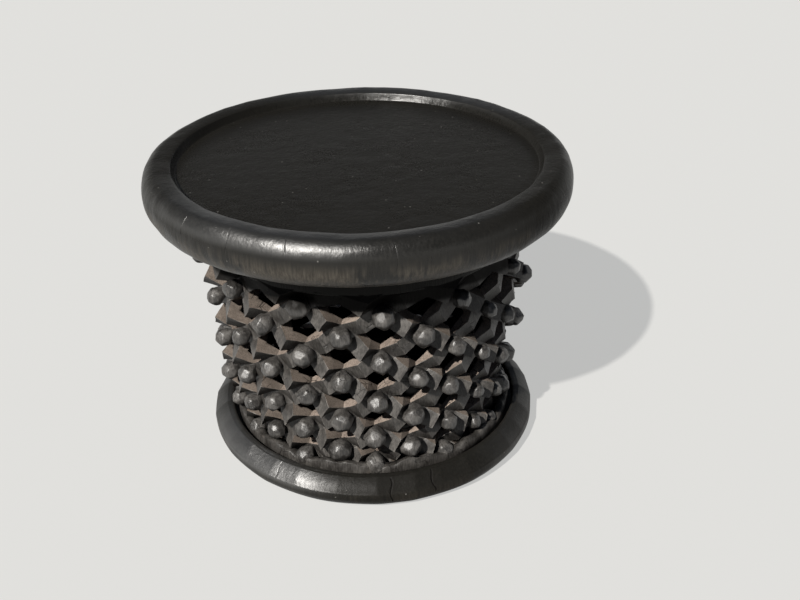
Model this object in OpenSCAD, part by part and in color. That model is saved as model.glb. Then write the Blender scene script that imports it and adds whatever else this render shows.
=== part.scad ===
// Carved spider table: a round dished tray on a pierced drum, standing on a thick base ring.
// The drum is a lattice of spiders: each is a knob on a crossing with four half legs.
// Millimetres, +Z up, origin on the floor under the middle of the tray.

/* [Table] */
// Height from the floor to the top of the rim
table_h = 482; // [470:1:540]
// How far the foot of the drum stands to the right of the tray's centre
foot_offset = 13; // [0:1:16]

/* [Tray] */
// Diameter over the rolled rim
tray_d = 660; // [640:2:760]
// Width of the rim, from its outer edge to the edge of the tray floor
rim_w = 53; // [48:1:64]
// Height of the rolled rim
rim_h = 70; // [62:1:80]
// Distance from the outer edge of the rim in to its crest
crest_in = 24; // [18:1:28]
// Height of the soft shoulder between the crest and the inner slope
shoulder_h = 9; // [4:0.5:10]
// Width of the inner slope at the edge of the tray floor
slope_w = 9; // [4:0.5:12]
// Depth of the tray floor below the crest
tray_depth = 15; // [12:0.5:20]
// Thickness of the tray board
board_t = 38; // [30:1:44]

/* [Drum] */
// Number of spiders in a row
spiders = 12; // [10:1:14]
// Diameter over the knees beside the first row
knee_d = 500; // [480:2:520]
// Diameter over the knees beside the last row
foot_knee_d = 460; // [440:2:468]
// Depth of a crossing behind its knees
valley = 20; // [16:1:24]
// Thickness of the drum wall at a knee
wall = 46; // [38:1:52]
// Width of a leg on its outer face
leg_w = 22; // [16:0.5:24]
// How much each side of a leg flares towards the hollow
leg_flare = 2; // [0:0.5:3]
// Drop from the first row to the second
first_drop = 42; // [38:0.5:44]
// How much less each following drop is
drop_step = 2.1; // [1:0.1:2.2]
// Fall of the last row's lower legs over half a step, which is steeper than the others
foot_drop = 40; // [38:1:44]
// Rise from the first row to the underside of the collar
crown_rise = 36; // [30:1:40]
// Degrees that each row is turned past the one above it, beside the half step
row_twist = 0.7; // [0:0.05:0.9]
// Degrees from the front to the nearest spider of the first row
front_turn = 5.6; // [0:0.1:8]
// How far the collar lies behind the knees beside the first row
collar_inset = 8; // [4:1:12]
// How far the collar flares out under the tray
collar_flare = 18; // [8:1:20]

/* [Knobs] */
// Diameter of a knob at its widest
knob_d = 36; // [32:1:38]
// Length of a knob, from the crossing to the middle of its tip
knob_h = 28.5; // [25:0.5:30]
// Diameter over a knob's shoulder, between its widest and its tip
shoulder_d = 30; // [24:1:32]
// Diameter of a knob's tip
tip_d = 17; // [10:0.5:20]
// How far the middle of a tip stands above the tip's edge
tip_rise = 1.5; // [0.5:0.5:3]
// Where a knob is widest, as a share of its length
belly_share = 0.38; // [0.3:0.02:0.45]
// Where a knob's shoulder is, as a share of its length
shoulder_share = 0.74; // [0.6:0.02:0.8]
// Width of a knob's foot as a share of its widest
foot_share = 0.85; // [0.7:0.05:0.9]

/* [Base ring] */
// Width of the base ring outside its lip
base_w = 34; // [30:1:60]
// Height of the base ring
base_h = 50; // [44:1:56]
// Distance from the outer edge of the base ring in to its crest
base_crest_in = 26; // [20:1:28]
// Height of the ledge that the drum stands on, inside the lip
ledge_z = 28.5; // [24:0.5:30]
// How far the inner edge of the lip lies below the crest of the base ring
lip_fall = 5; // [2:0.5:7]
// Gap between the last knobs and the lip of the base ring
lip_gap = 2.5; // [2:0.5:4]
// Gap between the last knobs and the ledge below them
knob_seat = 0.5; // [0.5:0.5:2]
// How far the ledge runs inward past the drum
ledge_in = 4; // [1:1:10]

/* [Hidden] */
ROWS = 9;
$fn = 120;
// Straight cuts that a rolled edge's outline is made of
ROLL_CUTS = 18;

BLACK = "#2b2b2c";
BROWN = "#5c5450";

floor_z = table_h - tray_depth;
board_z = floor_z - board_t;
floor_r = tray_d / 2 - rim_w;
crest_r = tray_d / 2 - crest_in;
rim_z = table_h - rim_h / 2;

step = 360 / spiders;
knob_r = knob_d / 2;
last_z = ledge_z + knob_r + knob_seat;
// The rows stand one above the other, with the drops between them
function drop(row) = first_drop - drop_step * (row - 1);
function row_z(row) = row < 1 ? row_z(1) + crown_rise * (1 - row)
                    : row < ROWS ? row_z(row + 1) + drop(row) : last_z;
crown_z = row_z(0);

// Knee radius beside a row, which may lie between two rows
function knee_r(row) = (knee_d + (foot_knee_d - knee_d) * (row - 1) / (ROWS - 1)) / 2;
function inner_r(row) = knee_r(row) - wall;
function valley_r(row) = knee_r(row) - valley;
collar_r = knee_r(1) - collar_inset;
lip_r = knee_r(ROWS) - valley + knob_h + lip_gap;
hole_r = inner_r(ROWS) - ledge_in;
base_crest_r = lip_r + base_w - base_crest_in;

// The drum is drawn flat, with x along its wall and y up, and wrapped by this many mm a degree
wrap = PI / 180 * (knee_d + foot_knee_d) / 4;
function lean_x(z) = foot_offset * (1 - z / floor_z);
function wrapped(p, r) = [lean_x(p[1]) + r * sin(p[0] / wrap), -r * cos(p[0] / wrap), p[1]];

// Where a row's spider k stands on the flat drawing, and its neighbour one row up or down
function row_turn(row) = front_turn + (row % 2 == 0 ? step / 2 : 0) - row_twist * (row - 1);
function spot(row, k) = [wrap * (row_turn(row) + step * k), row_z(row)];
function beside(row, k, side, up) =
    let (next = row - up, x = wrap * (row_turn(row) + step * k + side * step / 2
                                      - row_twist * (next - row)))
    [x, next > ROWS ? row_z(row) - foot_drop : row_z(next)];

// A leg leaves its crossing towards a neighbour: unit direction, left side and half length
function unit(v) = v / norm(v);
function left_of(v) = [-v[1], v[0]];
function knee(from, to, half_w, lift) = (from + to) / 2 + left_of(unit(to - from)) * half_w * lift;

// Where the left side of leg a meets the right side of leg b, at a crossing c
function crotch(c, a, b, half_w) =
    let (da = unit(a - c), db = unit(b - c),
         pa = c + left_of(da) * half_w, pb = c - left_of(db) * half_w,
         det = da[1] * db[0] - da[0] * db[1],
         t = (db[0] * (pb[1] - pa[1]) - db[1] * (pb[0] - pa[0])) / det)
    pa + da * t;

// The four neighbours of a crossing, counterclockwise from the upper right
function around(row, k) = [beside(row, k, 1, 1), beside(row, k, -1, 1),
                           beside(row, k, -1, -1), beside(row, k, 1, -1)];

// Outline of a spider: for each leg the crotch before it and the two corners of its knee
function spider_outline(row, k, half_w) =
    let (c = spot(row, k), n = around(row, k))
    [for (i = [0 : 3]) each [crotch(c, n[(i + 3) % 4], n[i], half_w),
                             knee(c, n[i], half_w, -1), knee(c, n[i], half_w, 1)]];
function spider_radii(row, low, high_up, high_down) =
    [for (i = [0 : 3]) each [low, i < 2 ? high_up : high_down, i < 2 ? high_up : high_down]];

// The last row's lower legs run down to the ledge: their sides meet it at these places
function foot_x(row, k, side, half_w) =
    let (c = spot(row, k), n = beside(row, k, side, -1), d = unit(n - c),
         p = c + left_of(d) * half_w * side)
    p[0] + d[0] * (ledge_z - p[1]) / d[1];
function foot_outline(k, half_w) =
    let (whole = spider_outline(ROWS, k, half_w), x = spot(ROWS, k)[0],
         l = foot_x(ROWS, k, -1, half_w), r = foot_x(ROWS, k, 1, half_w))
    concat([for (i = [0 : 6]) whole[i]],
           [for (q = [l, (l + x) / 2, x, (r + x) / 2, r]) [q, ledge_z]]);

// Walls between an outer and an inner outline, each split from its high outer corner
function walls(outer, at, n) =
    [for (i = [0 : n - 1]) let (j = (i + 1) % n, oi = at + i, oj = at + j, ii = oi + n, ij = oj + n)
        each (outer[i][1] > outer[j][1] ? [[oi, ii, ij], [oi, ij, oj]] : [[oi, ii, oj], [ii, ij, oj]])];
function flipped(faces) = [for (f = faces) [for (i = [len(f) - 1 : -1 : 0]) f[i]]];
function shifted(faces, by) = [for (f = faces) [for (i = f) i + by]];

// A knob is four rings of eight corners round its crossing, closed by a low point. Its points are
// numbered after those of the outline and the inner outline.
function ring_corners() = 8;
function ring_start(ring) = 24 + ring * ring_corners();
function toward(c, p, d) = c + unit(p - c) * min(d, foot_share * norm(p - c));
function knob_foot(c, outline) =
    [for (i = [0 : 3]) each [toward(c, outline[3 * i], foot_share * knob_r),
        c + unit((outline[3 * i + 1] + outline[3 * i + 2]) / 2 - c) * foot_share * knob_r]];
function knob_ring(c, d) = [for (i = [0 : ring_corners() - 1])
    let (a = i * 360 / ring_corners()) c + d * [cos(a), sin(a)]];
function ring_faces(ring) = [for (i = [0 : ring_corners() - 1])
    let (j = (i + 1) % ring_corners(), low = ring_start(ring), high = ring_start(ring + 1))
        each [[low + i, low + j, high + j], [low + i, high + j, high + i]]];
function cap_faces(ring) = [for (i = [0 : ring_corners() - 1])
    [ring_start(ring) + i, ring_start(ring) + (i + 1) % ring_corners(), ring_start(ring + 1)]];

// Radius of the leg's face at the knob's foot, on the slope from the crossing up to the knee
function foot_radius(c, outline, i, low, high) =
    let (m = (outline[3 * i + 1] + outline[3 * i + 2]) / 2,
         q = (outline[3 * i] + outline[(3 * i + 3) % 12]) / 2,
         start = norm(q - c), run = norm(m - c) - start)
    low + (high - low) * max(0, foot_share * knob_r - start) / run;

// Faces between the outline, points 0 to 11, and the knob's foot, points at to at + 7
function leg_faces(i, at) =
    let (o = 3 * i, after = (o + 3) % 12, a = at + 2 * i, b = a + 1, c = at + (2 * i + 2) % 8)
    [[o, o + 1, b], [o, b, a], [o + 1, o + 2, b], [o + 2, after, b], [after, c, b]];
UPPER_LEGS = [for (i = [0, 1]) each leg_faces(i, 24)];
LOWER_LEGS = [for (i = [2, 3]) each leg_faces(i, 24)];
FOOT_LEGS = [[6, 7, 29], [6, 29, 28], [7, 8, 29], [8, 9, 29], [9, 30, 29],
             [9, 31, 30], [9, 10, 31], [10, 11, 31], [11, 0, 31], [0, 24, 31]];
SPIDER_BACK = [[0, 1, 2], [0, 2, 3], [3, 4, 5], [3, 5, 6], [6, 7, 8], [6, 8, 9],
               [9, 10, 11], [9, 11, 0], [0, 3, 6], [0, 6, 9]];
FOOT_BACK = [[0, 1, 2], [0, 2, 3], [3, 4, 5], [3, 5, 6], [0, 3, 9], [3, 6, 9],
             [6, 7, 8], [6, 8, 9], [9, 10, 0], [10, 11, 0]];

// One closed solid from an outline, its inner outline and a knob
module knobbed(c, outline, inner, radii, inner_radii, foot_radii, front, back, low) {
    points = concat(
        [for (i = [0 : 11]) wrapped(outline[i], radii[i])],
        [for (i = [0 : 11]) wrapped(inner[i], inner_radii[i])],
        [for (i = [0 : 7]) wrapped(knob_foot(c, outline)[i], foot_radii[i])],
        [for (p = knob_ring(c, knob_r)) wrapped(p, low + belly_share * knob_h)],
        [for (p = knob_ring(c, shoulder_d / 2)) wrapped(p, low + shoulder_share * knob_h)],
        [for (p = knob_ring(c, tip_d / 2)) wrapped(p, low + knob_h - tip_rise)],
        [wrapped(c, low + knob_h)]);
    faces = concat(front, shifted(flipped(back), 12), walls(outline, 0, 12),
                   ring_faces(0), ring_faces(1), ring_faces(2), cap_faces(3));
    polyhedron(points, flipped(faces));
}

module spider(row, k) {
    c = spot(row, k);
    outline = spider_outline(row, k, leg_w / 2);
    low = valley_r(row);
    knobbed(c, outline, spider_outline(row, k, leg_w / 2 + leg_flare),
            spider_radii(row, low, knee_r(row - 0.5), knee_r(row + 0.5)),
            spider_radii(row, inner_r(row), inner_r(row - 0.5), inner_r(row + 0.5)),
            [for (i = [0 : 7]) i % 2 == 0 ? low
                : foot_radius(c, outline, (i - 1) / 2, low, knee_r(row + (i < 4 ? -0.5 : 0.5)))],
            concat(UPPER_LEGS, LOWER_LEGS), SPIDER_BACK, low);
}

// A spider of the last row, which has feet on the ledge in place of its lower legs
module foot_spider(k) {
    c = spot(ROWS, k);
    outline = foot_outline(k, leg_w / 2);
    low = valley_r(ROWS);
    up = knee_r(ROWS - 0.5);
    mid = (low + knee_r(ROWS)) / 2;
    back_r = inner_r(ROWS);
    knobbed(c, outline, foot_outline(k, leg_w / 2 + leg_flare),
            [low, up, up, low, up, up, low, knee_r(ROWS), mid, low, mid, knee_r(ROWS)],
            [for (i = [0 : 11]) i % 3 == 0 || i > 6 ? back_r : inner_r(ROWS - 0.5)],
            [for (i = [0 : 7]) i % 2 == 0 || i > 4 ? low
                : foot_radius(c, outline, (i - 1) / 2, low, up)],
            concat(UPPER_LEGS, FOOT_LEGS), FOOT_BACK, low);
}

// The collar's point between the upper legs of a first-row spider, from the legs' knees upward
function crown_outline(k, half_w) =
    let (own = spider_outline(1, k, half_w), c = spot(1, k), n = around(1, k),
         across = [step * wrap, 0], mid = (n[0] + n[1]) / 2)
    [own[3], own[2], own[1], crotch(n[0], c, c + across, half_w), n[0], (n[0] + mid) / 2, mid,
     (n[1] + mid) / 2, n[1], crotch(n[1], c - across, c, half_w), own[5], own[4]];
CROWN = [[1, 2, 3], [1, 3, 4], [1, 4, 5], [1, 5, 6], [0, 1, 6],
         [11, 6, 7], [11, 7, 8], [11, 8, 9], [11, 9, 10], [0, 6, 11]];

module crown_point(k) {
    outline = crown_outline(k, leg_w / 2);
    inner = crown_outline(k, leg_w / 2 + leg_flare);
    up = knee_r(0.5);
    back_up = inner_r(0.5);
    radii = concat([valley_r(1), up, up], [for (i = [3 : 9]) collar_r], [up, up]);
    back = concat([inner_r(1), back_up, back_up], [for (i = [3 : 9]) inner_r(0)], [back_up, back_up]);
    points = concat([for (i = [0 : 11]) wrapped(outline[i], radii[i])],
                    [for (i = [0 : 11]) wrapped(inner[i], back[i])]);
    polyhedron(points, flipped(concat(CROWN, shifted(flipped(CROWN), 12), walls(outline, 0, 12))));
}

// The flat middle of the tray
module tray_board() color(BLACK)
    translate([0, 0, board_z]) cylinder(r = floor_r, h = board_t);

// The rolled rim: a tall oval section outside, a soft shoulder and a slope down to the tray floor
module tray_rim() color(BLACK) {
    low = asin((rim_z - board_z) / (rim_h / 2)) - 180;
    shoulder_w = crest_r - floor_r - slope_w;
    rotate_extrude()
        polygon(concat(
            [for (i = [0 : ROLL_CUTS]) let (a = low + (90 - low) * i / ROLL_CUTS)
                [crest_r + crest_in * cos(a), rim_z + rim_h / 2 * sin(a)]],
            [for (a = [15 : 15 : 90])
                [crest_r - shoulder_w * sin(a), table_h - shoulder_h * (1 - cos(a))]],
            [[floor_r, floor_z], [floor_r, board_z]]));
}

// The ring that joins the drum to the tray, flaring out in a hollow curve
module collar() color(BLACK)
    translate([lean_x(crown_z), 0, 0]) rotate_extrude()
        polygon(concat([[inner_r(0), crown_z]],
            [for (a = [0 : 10 : 90]) [collar_r + collar_flare * (1 - cos(a)),
                                      crown_z + (board_z - crown_z) * sin(a)]],
            [[inner_r(0), board_z]]));

module crown_points() color(BROWN)
    for (k = [0 : spiders - 1]) crown_point(k);

module spider_row(row) color(BROWN)
    for (k = [0 : spiders - 1])
        if (row == ROWS) foot_spider(k);
        else spider(row, k);

// A flat foot, a bulging outside, a rounded lip, and inside it the ledge that the drum stands on
module base_ring() color(BLACK)
    translate([foot_offset, 0, 0]) rotate_extrude()
        polygon(concat([[hole_r, 0]],
            [for (i = [0 : ROLL_CUTS]) let (a = 180 * i / ROLL_CUTS - 90)
                [base_crest_r + base_crest_in * cos(a), base_h / 2 * (1 + sin(a))]],
            [for (a = [30 : 30 : 90])
                [base_crest_r - (base_crest_r - lip_r) * sin(a), base_h - lip_fall * (1 - cos(a))]],
            [[lip_r, ledge_z], [hole_r, ledge_z]]));

tray_board();
tray_rim();
collar();
crown_points();
spider_row(1);  // spider_row_1
spider_row(2);  // spider_row_2
spider_row(3);  // spider_row_3
spider_row(4);  // spider_row_4
spider_row(5);  // spider_row_5
spider_row(6);  // spider_row_6
spider_row(7);  // spider_row_7
spider_row(8);  // spider_row_8
spider_row(9);  // spider_row_9
base_ring();
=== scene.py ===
# %% [markdown]
# # A carved spider table
# The real table is one log: a dished tray, a pierced drum and a thick base ring, all cut from one
# block, blackened and waxed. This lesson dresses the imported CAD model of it. Each piece is a surface
# worked out with numpy, in metres, in the CAD frame: +Z up, origin on the floor under the tray.

# %% Load the frame
import math

import bmesh
import bpy
import numpy as np
from mathutils import Matrix, Vector


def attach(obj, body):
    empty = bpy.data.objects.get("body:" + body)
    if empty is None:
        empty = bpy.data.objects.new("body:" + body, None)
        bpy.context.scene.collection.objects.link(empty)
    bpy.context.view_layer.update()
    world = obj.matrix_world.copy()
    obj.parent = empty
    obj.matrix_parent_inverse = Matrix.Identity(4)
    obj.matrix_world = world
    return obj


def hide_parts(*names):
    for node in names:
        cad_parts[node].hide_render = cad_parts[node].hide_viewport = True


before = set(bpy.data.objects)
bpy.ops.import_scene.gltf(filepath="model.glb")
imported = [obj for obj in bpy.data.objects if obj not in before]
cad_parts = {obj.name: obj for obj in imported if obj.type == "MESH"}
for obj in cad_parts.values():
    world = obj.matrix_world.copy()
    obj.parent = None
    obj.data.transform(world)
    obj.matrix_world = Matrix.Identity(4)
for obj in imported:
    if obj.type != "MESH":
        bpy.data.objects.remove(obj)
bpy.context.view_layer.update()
print("nodes:", sorted(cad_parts))

# %% [markdown]
# ## The camera
# The photograph looks down on the table by 30 degrees from about 1.8 m away. A camera could be aimed
# with a Track To constraint, but the photograph also leans by three quarters of a degree, so the three
# directions of the camera are worked out and written straight into its matrix.

# %% Camera at the photograph's angle
# Where the camera stands, its turns in radians, and its lens in millimetres.
EYE = (0.0074, -1.44597, 1.04226)
LOOK_DOWN, LOOK_RIGHT, LEAN = 0.51974, 0.03739, 0.01324
FOCAL_LENGTH, SENSOR_WIDTH = 45, 36


def placed(name, data):
    """An object that shows the data, linked to the scene."""
    item = bpy.data.objects.new(name, data)
    bpy.context.scene.collection.objects.link(item)
    return item


def camera_matrix(eye, pitch, yaw, roll):
    """Forward is yaw and pitch as a unit vector; right is level; roll turns right and up about forward."""
    forward = Vector((math.sin(yaw) * math.cos(pitch), math.cos(yaw) * math.cos(pitch), -math.sin(pitch)))
    right = Vector((math.cos(yaw), -math.sin(yaw), 0))
    down = forward.cross(right)
    side = math.cos(roll) * right + math.sin(roll) * down
    low = -math.sin(roll) * right + math.cos(roll) * down
    rows = [(side[i], -low[i], -forward[i], eye[i]) for i in range(3)]
    return Matrix([*rows, (0, 0, 0, 1)])


lens = bpy.data.cameras.new("photo_camera")
lens.lens, lens.sensor_width = FOCAL_LENGTH, SENSOR_WIDTH
camera = placed("photo_camera", lens)
camera.matrix_world = camera_matrix(EYE, LOOK_DOWN, LOOK_RIGHT, LEAN)
bpy.context.scene.camera = camera
print("camera at", EYE)

# %% [markdown]
# ## Helpers for surfaces
# A carved thing is never quite even. The first helper gives a smooth, repeatable unevenness: it adds
# up a few plane waves with random directions, so it needs no table and is the same in every run. The
# others turn arrays into a mesh object, and write one number per point for a finish to read.

# %% A smooth unevenness


def uneven(points, wavelength, seed, waves=9):
    """Sum of plane waves of about that wavelength, with directions and phases drawn from the seed, scaled to
    about -1 to 1."""
    draw = np.random.default_rng(seed)
    directions = draw.normal(size=(waves, 3))
    directions /= np.linalg.norm(directions, axis=1, keepdims=True)
    pitch = 2 * np.pi / (wavelength * draw.uniform(0.7, 1.5, waves))
    phase = draw.uniform(0, 2 * np.pi, waves)
    return np.sin(points @ (directions.T * pitch) + phase).sum(-1) / math.sqrt(waves)


def hand_work(points, *layers):
    """Sum of unevennesses, each given as its wavelength, its seed and its size."""
    return sum(uneven(points, wavelength, seed) * size for wavelength, seed, size in layers)


def ramp(value, reach):
    """0 up to zero, 1 from the reach on, and straight between."""
    return np.clip(value / reach, 0, 1)


def round_angles(count):
    """That many even angles round the circle, from 0."""
    return np.arange(count) * 2 * np.pi / count


# %% Meshes from arrays


def grid_faces(rows, columns, wrap_rows=False):
    """Quads between neighbours of a grid whose columns go all the way round; rows close too if wrap_rows."""
    r = np.arange(rows if wrap_rows else rows - 1)[:, None]
    c = np.arange(columns)[None, :]
    low, high = r * columns, (r + 1) % rows * columns
    after = (c + 1) % columns
    return np.stack([low + c, low + after, high + after, high + c], -1).reshape(-1, 4)


def mesh_piece(name, points, faces, material):
    """A smooth-shaded mesh object at the origin, which rides on the root body."""
    mesh = bpy.data.meshes.new(name)
    faces = faces.tolist() if isinstance(faces, np.ndarray) else faces
    mesh.from_pydata(points.reshape(-1, 3), [], faces)
    mesh.polygons.foreach_set("use_smooth", np.ones(len(mesh.polygons), bool))
    mesh.materials.append(material)
    mesh.update()
    piece = placed(name, mesh)
    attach(piece, "root")
    triangles = sum(len(face) - 2 for face in faces)
    print(name, len(mesh.vertices), "points,", triangles, "triangles")
    return piece


def paint(piece, name, values):
    """Writes one number per vertex as an attribute that a material can read."""
    layer = piece.data.attributes.new(name, "FLOAT", "POINT")
    layer.data.foreach_set("value", np.asarray(values, np.float32).ravel())


# %% [markdown]
# ## Helpers for materials
# Every finish here is procedural. A node tree is easier to read when each node is one line, so the
# helper makes a node, sets its options and either sets or links its inputs.

# %% One line per shader node


class Finish:
    """A material, or a world, whose nodes are added one line at a time."""

    def __init__(self, name, world=None):
        """Its place is the object's own coordinates, or the direction of view in a world."""
        self.material = world or bpy.data.materials.new(name)
        self.material.use_nodes = True
        self.tree = self.material.node_tree
        self.shader = self.tree.nodes.get("Principled BSDF")
        coordinates = self.tree.nodes.new("ShaderNodeTexCoord")
        self.place = coordinates.outputs["Generated" if world else "Object"]

    def set(self, node, inputs):
        """Links each input that is given a socket, and sets the others to their value."""
        for key, value in inputs.items():
            if isinstance(value, bpy.types.NodeSocket):
                self.tree.links.new(value, node.inputs[key])
            else:
                node.inputs[key].default_value = value
        return node

    def add(self, kind, inputs=None, out=0, **options):
        """One output of a new node."""
        node = self.tree.nodes.new("ShaderNode" + kind)
        for key, value in options.items():
            setattr(node, key, value)
        return self.set(node, inputs or {}).outputs[out]

    def math(self, operation, a, b=0.0, c=0.0):
        """The result of a Math node; MULTIPLY_ADD is a times b, plus c."""
        return self.add("Math", {0: a, 1: b, 2: c}, operation=operation)

    def times(self, a, b):
        """a times b."""
        return self.math("MULTIPLY", a, b)

    def plus(self, a, b):
        """a plus b."""
        return self.math("ADD", a, b)

    def axis(self, number):
        """The place along x, y or z, which are 0, 1 and 2."""
        return self.add("SeparateXYZ", {0: self.place}, out=number)

    def stretched(self, x, y, z):
        """The place, scaled by three factors, so that a pattern runs along the axis with the small one."""
        return self.add("Mapping", {"Vector": self.place, "Scale": (x, y, z)})

    def noise(self, scale, detail, rough, place=None):
        """A cloudy pattern from 0 to 1; a place that is stretched already has a scale of 1."""
        return self.add("TexNoise", {"Vector": place or self.place, "Scale": scale, "Detail": detail,
                                     "Roughness": rough})

    def step(self, value, low, high, to_low=0.0, to_high=1.0):
        """A smooth step: to_low below low, to_high above high."""
        return self.add("MapRange", {"Value": value, "From Min": low, "From Max": high,
                                     "To Min": to_low, "To Max": to_high}, interpolation_type="SMOOTHSTEP")

    def blend(self, share, a, b):
        """Colour a where share is 0 and b where it is 1."""
        node = self.tree.nodes.new("ShaderNodeMix")
        node.data_type = "RGBA"
        self.set(node, {"Factor": share})
        for socket, value in ((node.inputs[6], a), (node.inputs[7], b)):
            if isinstance(value, bpy.types.NodeSocket):
                self.tree.links.new(value, socket)
            else:
                socket.default_value = (*value, 1)
        return node.outputs[2]

    def attribute(self, name):
        """The number that paint wrote at each vertex, and 0 on a piece that doesn't have it."""
        return self.add("Attribute", out=2, attribute_name=name)

    def shown_ray(self):
        """1 for the rays that show the background: those of the camera, of reflections and of glass."""
        rays = self.tree.nodes.new("ShaderNodeLightPath").outputs
        mirrored = self.math("MAXIMUM", rays["Is Glossy Ray"], rays["Is Transmission Ray"])
        return self.math("MAXIMUM", rays["Is Camera Ray"], mirrored)

    def coats(self, colour, *layers):
        """Colours laid over the first in turn, each after the share that it covers."""
        for share, layer in layers:
            colour = self.blend(share, colour, layer)
        return colour

    def relief(self, *layers):
        """Bumps laid over each other, each given by its height, its depth and its strength."""
        below = {}
        for height, depth, strength in layers:
            bump = self.add("Bump", {"Height": height, "Distance": depth, "Strength": strength, **below})
            below = {"Normal": bump}
        return bump


# %% [markdown]
# ## The sizes, again
# scene.py can't read the CAD source, so the sizes that the finer surfaces need are repeated here, in
# metres.

# %% Sizes of the tray
# Height of the table, radius of the tray, and how far the drum's foot stands to the right.
TABLE_H, TRAY_R, FOOT_OFFSET = 0.482, 0.330, 0.013
# The rim's width and height, and the crest's distance from the outside.
RIM_W, RIM_H, CREST_IN = 0.053, 0.070, 0.024
# Fall of the rim's inner shoulder, width of the steep slope below it, and the tray's depth and board.
STEEP_SHOULDER, STEEP_W, TRAY_DEPTH, BOARD_T = 0.0045, 0.0055, 0.015, 0.038
FLOOR_Z = TABLE_H - TRAY_DEPTH
BOARD_Z = FLOOR_Z - BOARD_T
FLOOR_R, CREST_R, RIM_Z = TRAY_R - RIM_W, TRAY_R - CREST_IN, TABLE_H - RIM_H / 2

# %% Sizes of the drum and the base ring
ROWS, SPIDERS = 9, 12
# Radius over the knees at the top and at the foot, depth of the crossings, and the wall's whole depth.
KNEE_R, FOOT_KNEE_R, VALLEY, WALL = 0.250, 0.230, 0.023, 0.046
# A leg's width, how much wider it is inside, and how thick it is at a knee and where legs fork.
LEG_W, LEG_FLARE, LEG_THICK, CROTCH_THICK = 0.0255, 0.0025, 0.024, 0.010
# How far the knees of the straight and of the bold legs lie inside the drum, and where the bold ones bend.
STRAIGHT, BOLD, KNEE_SHARE = 0.015, 0.004, 0.58
# Drop from the first row to the second, how much less each further drop is, the last, and the crown's rise.
FIRST_DROP, DROP_STEP, FOOT_DROP, CROWN_RISE = 0.042, 0.0021, 0.040, 0.036
# Degrees that each row is turned past the one above, and that the first is turned from the front.
ROW_TWIST, FRONT_TURN = 0.7, 5.6
# How far the collar lies behind the knees and how far it flares out, and a knob's radius and length.
COLLAR_INSET, COLLAR_FLARE, KNOB_R, KNOB_H = 0.008, 0.018, 0.018, 0.0315
# The base ring's height, the crest's distance from its outside, its width, its ledge and the lip's fall.
BASE_H, BASE_CREST_IN, BASE_W, LEDGE_Z, LIP_FALL = 0.050, 0.026, 0.034, 0.0285, 0.005
# Gaps from the last knobs to the lip and to the ledge, and how far the ledge runs inward past the drum.
LIP_GAP, KNOB_SEAT, LEDGE_IN = 0.0025, 0.0005, 0.004

# Degrees from one spider to the next, and metres along the flat drawing for each degree.
STEP = 360 / SPIDERS
WRAP = math.pi / 180 * (KNEE_R + FOOT_KNEE_R) / 2


def row_height(row):
    """Height of a row of crossings: the last is a knob above the ledge, and each drop is one step less than
    the drop above it."""
    if row < 1:
        return row_height(1) + CROWN_RISE * (1 - row)
    drops = [FIRST_DROP - DROP_STEP * (r - 1) for r in range(int(row), ROWS)]
    return LEDGE_Z + KNOB_R + KNOB_SEAT + sum(drops)


def knee_radius(row):
    """Radius over the knees: a straight line from the first row to the last."""
    return KNEE_R + (FOOT_KNEE_R - KNEE_R) * (row - 1) / (ROWS - 1)


CROWN_Z = row_height(0)
LIP_R = knee_radius(ROWS) - VALLEY + KNOB_H + LIP_GAP
HOLE_R = knee_radius(ROWS) - WALL - LEDGE_IN
BASE_CREST_R = LIP_R + BASE_W - BASE_CREST_IN
COLLAR_R = knee_radius(1) - COLLAR_INSET
print("crown at", round(CROWN_Z, 4), "lip radius", round(LIP_R, 4))

# %% [markdown]
# ## Blackened wood
# The tray, collar and base ring are stained black and waxed. A single black would look like plastic:
# the real finish is thin on the handled places, where a grey-brown shows, and the log's upright grain
# draws hairline streaks down the rim. The grain is noise that is squeezed across and drawn out along
# Z. Rubbed places are a second, larger noise, held to the outside of the rim by height. The shine
# isn't even either: hands polished some sides, and others are dull, so the meshes carry both.

# %% The colours of the stain, and of what shows through it
STAIN_DARK, STAIN_LIGHT = (0.0098, 0.0092, 0.0077), (0.0205, 0.0192, 0.0163)
WAX_FILM = (0.0150, 0.0143, 0.0126)
RUBBED_DARK, RUBBED_LIGHT = (0.045, 0.038, 0.029), (0.145, 0.128, 0.104)
WORN_BROWN, DUST, CRACK_SHADE = (0.085, 0.066, 0.046), (0.30, 0.29, 0.27), (0.004, 0.0035, 0.003)
# Patterns per metre: along x, y and z for the grain, and in all directions for the others.
GRAIN, STREAK = (330, 330, 30), (150, 150, 5)
CLOUDS, SPECKS, SPECK_CLUSTERS, DENTS = 9, 58.0, 21, 34
# How much of its shine a wholly dull place keeps.
DULL_SHINE = 0.08

# %% The blackened, waxed finish


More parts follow.
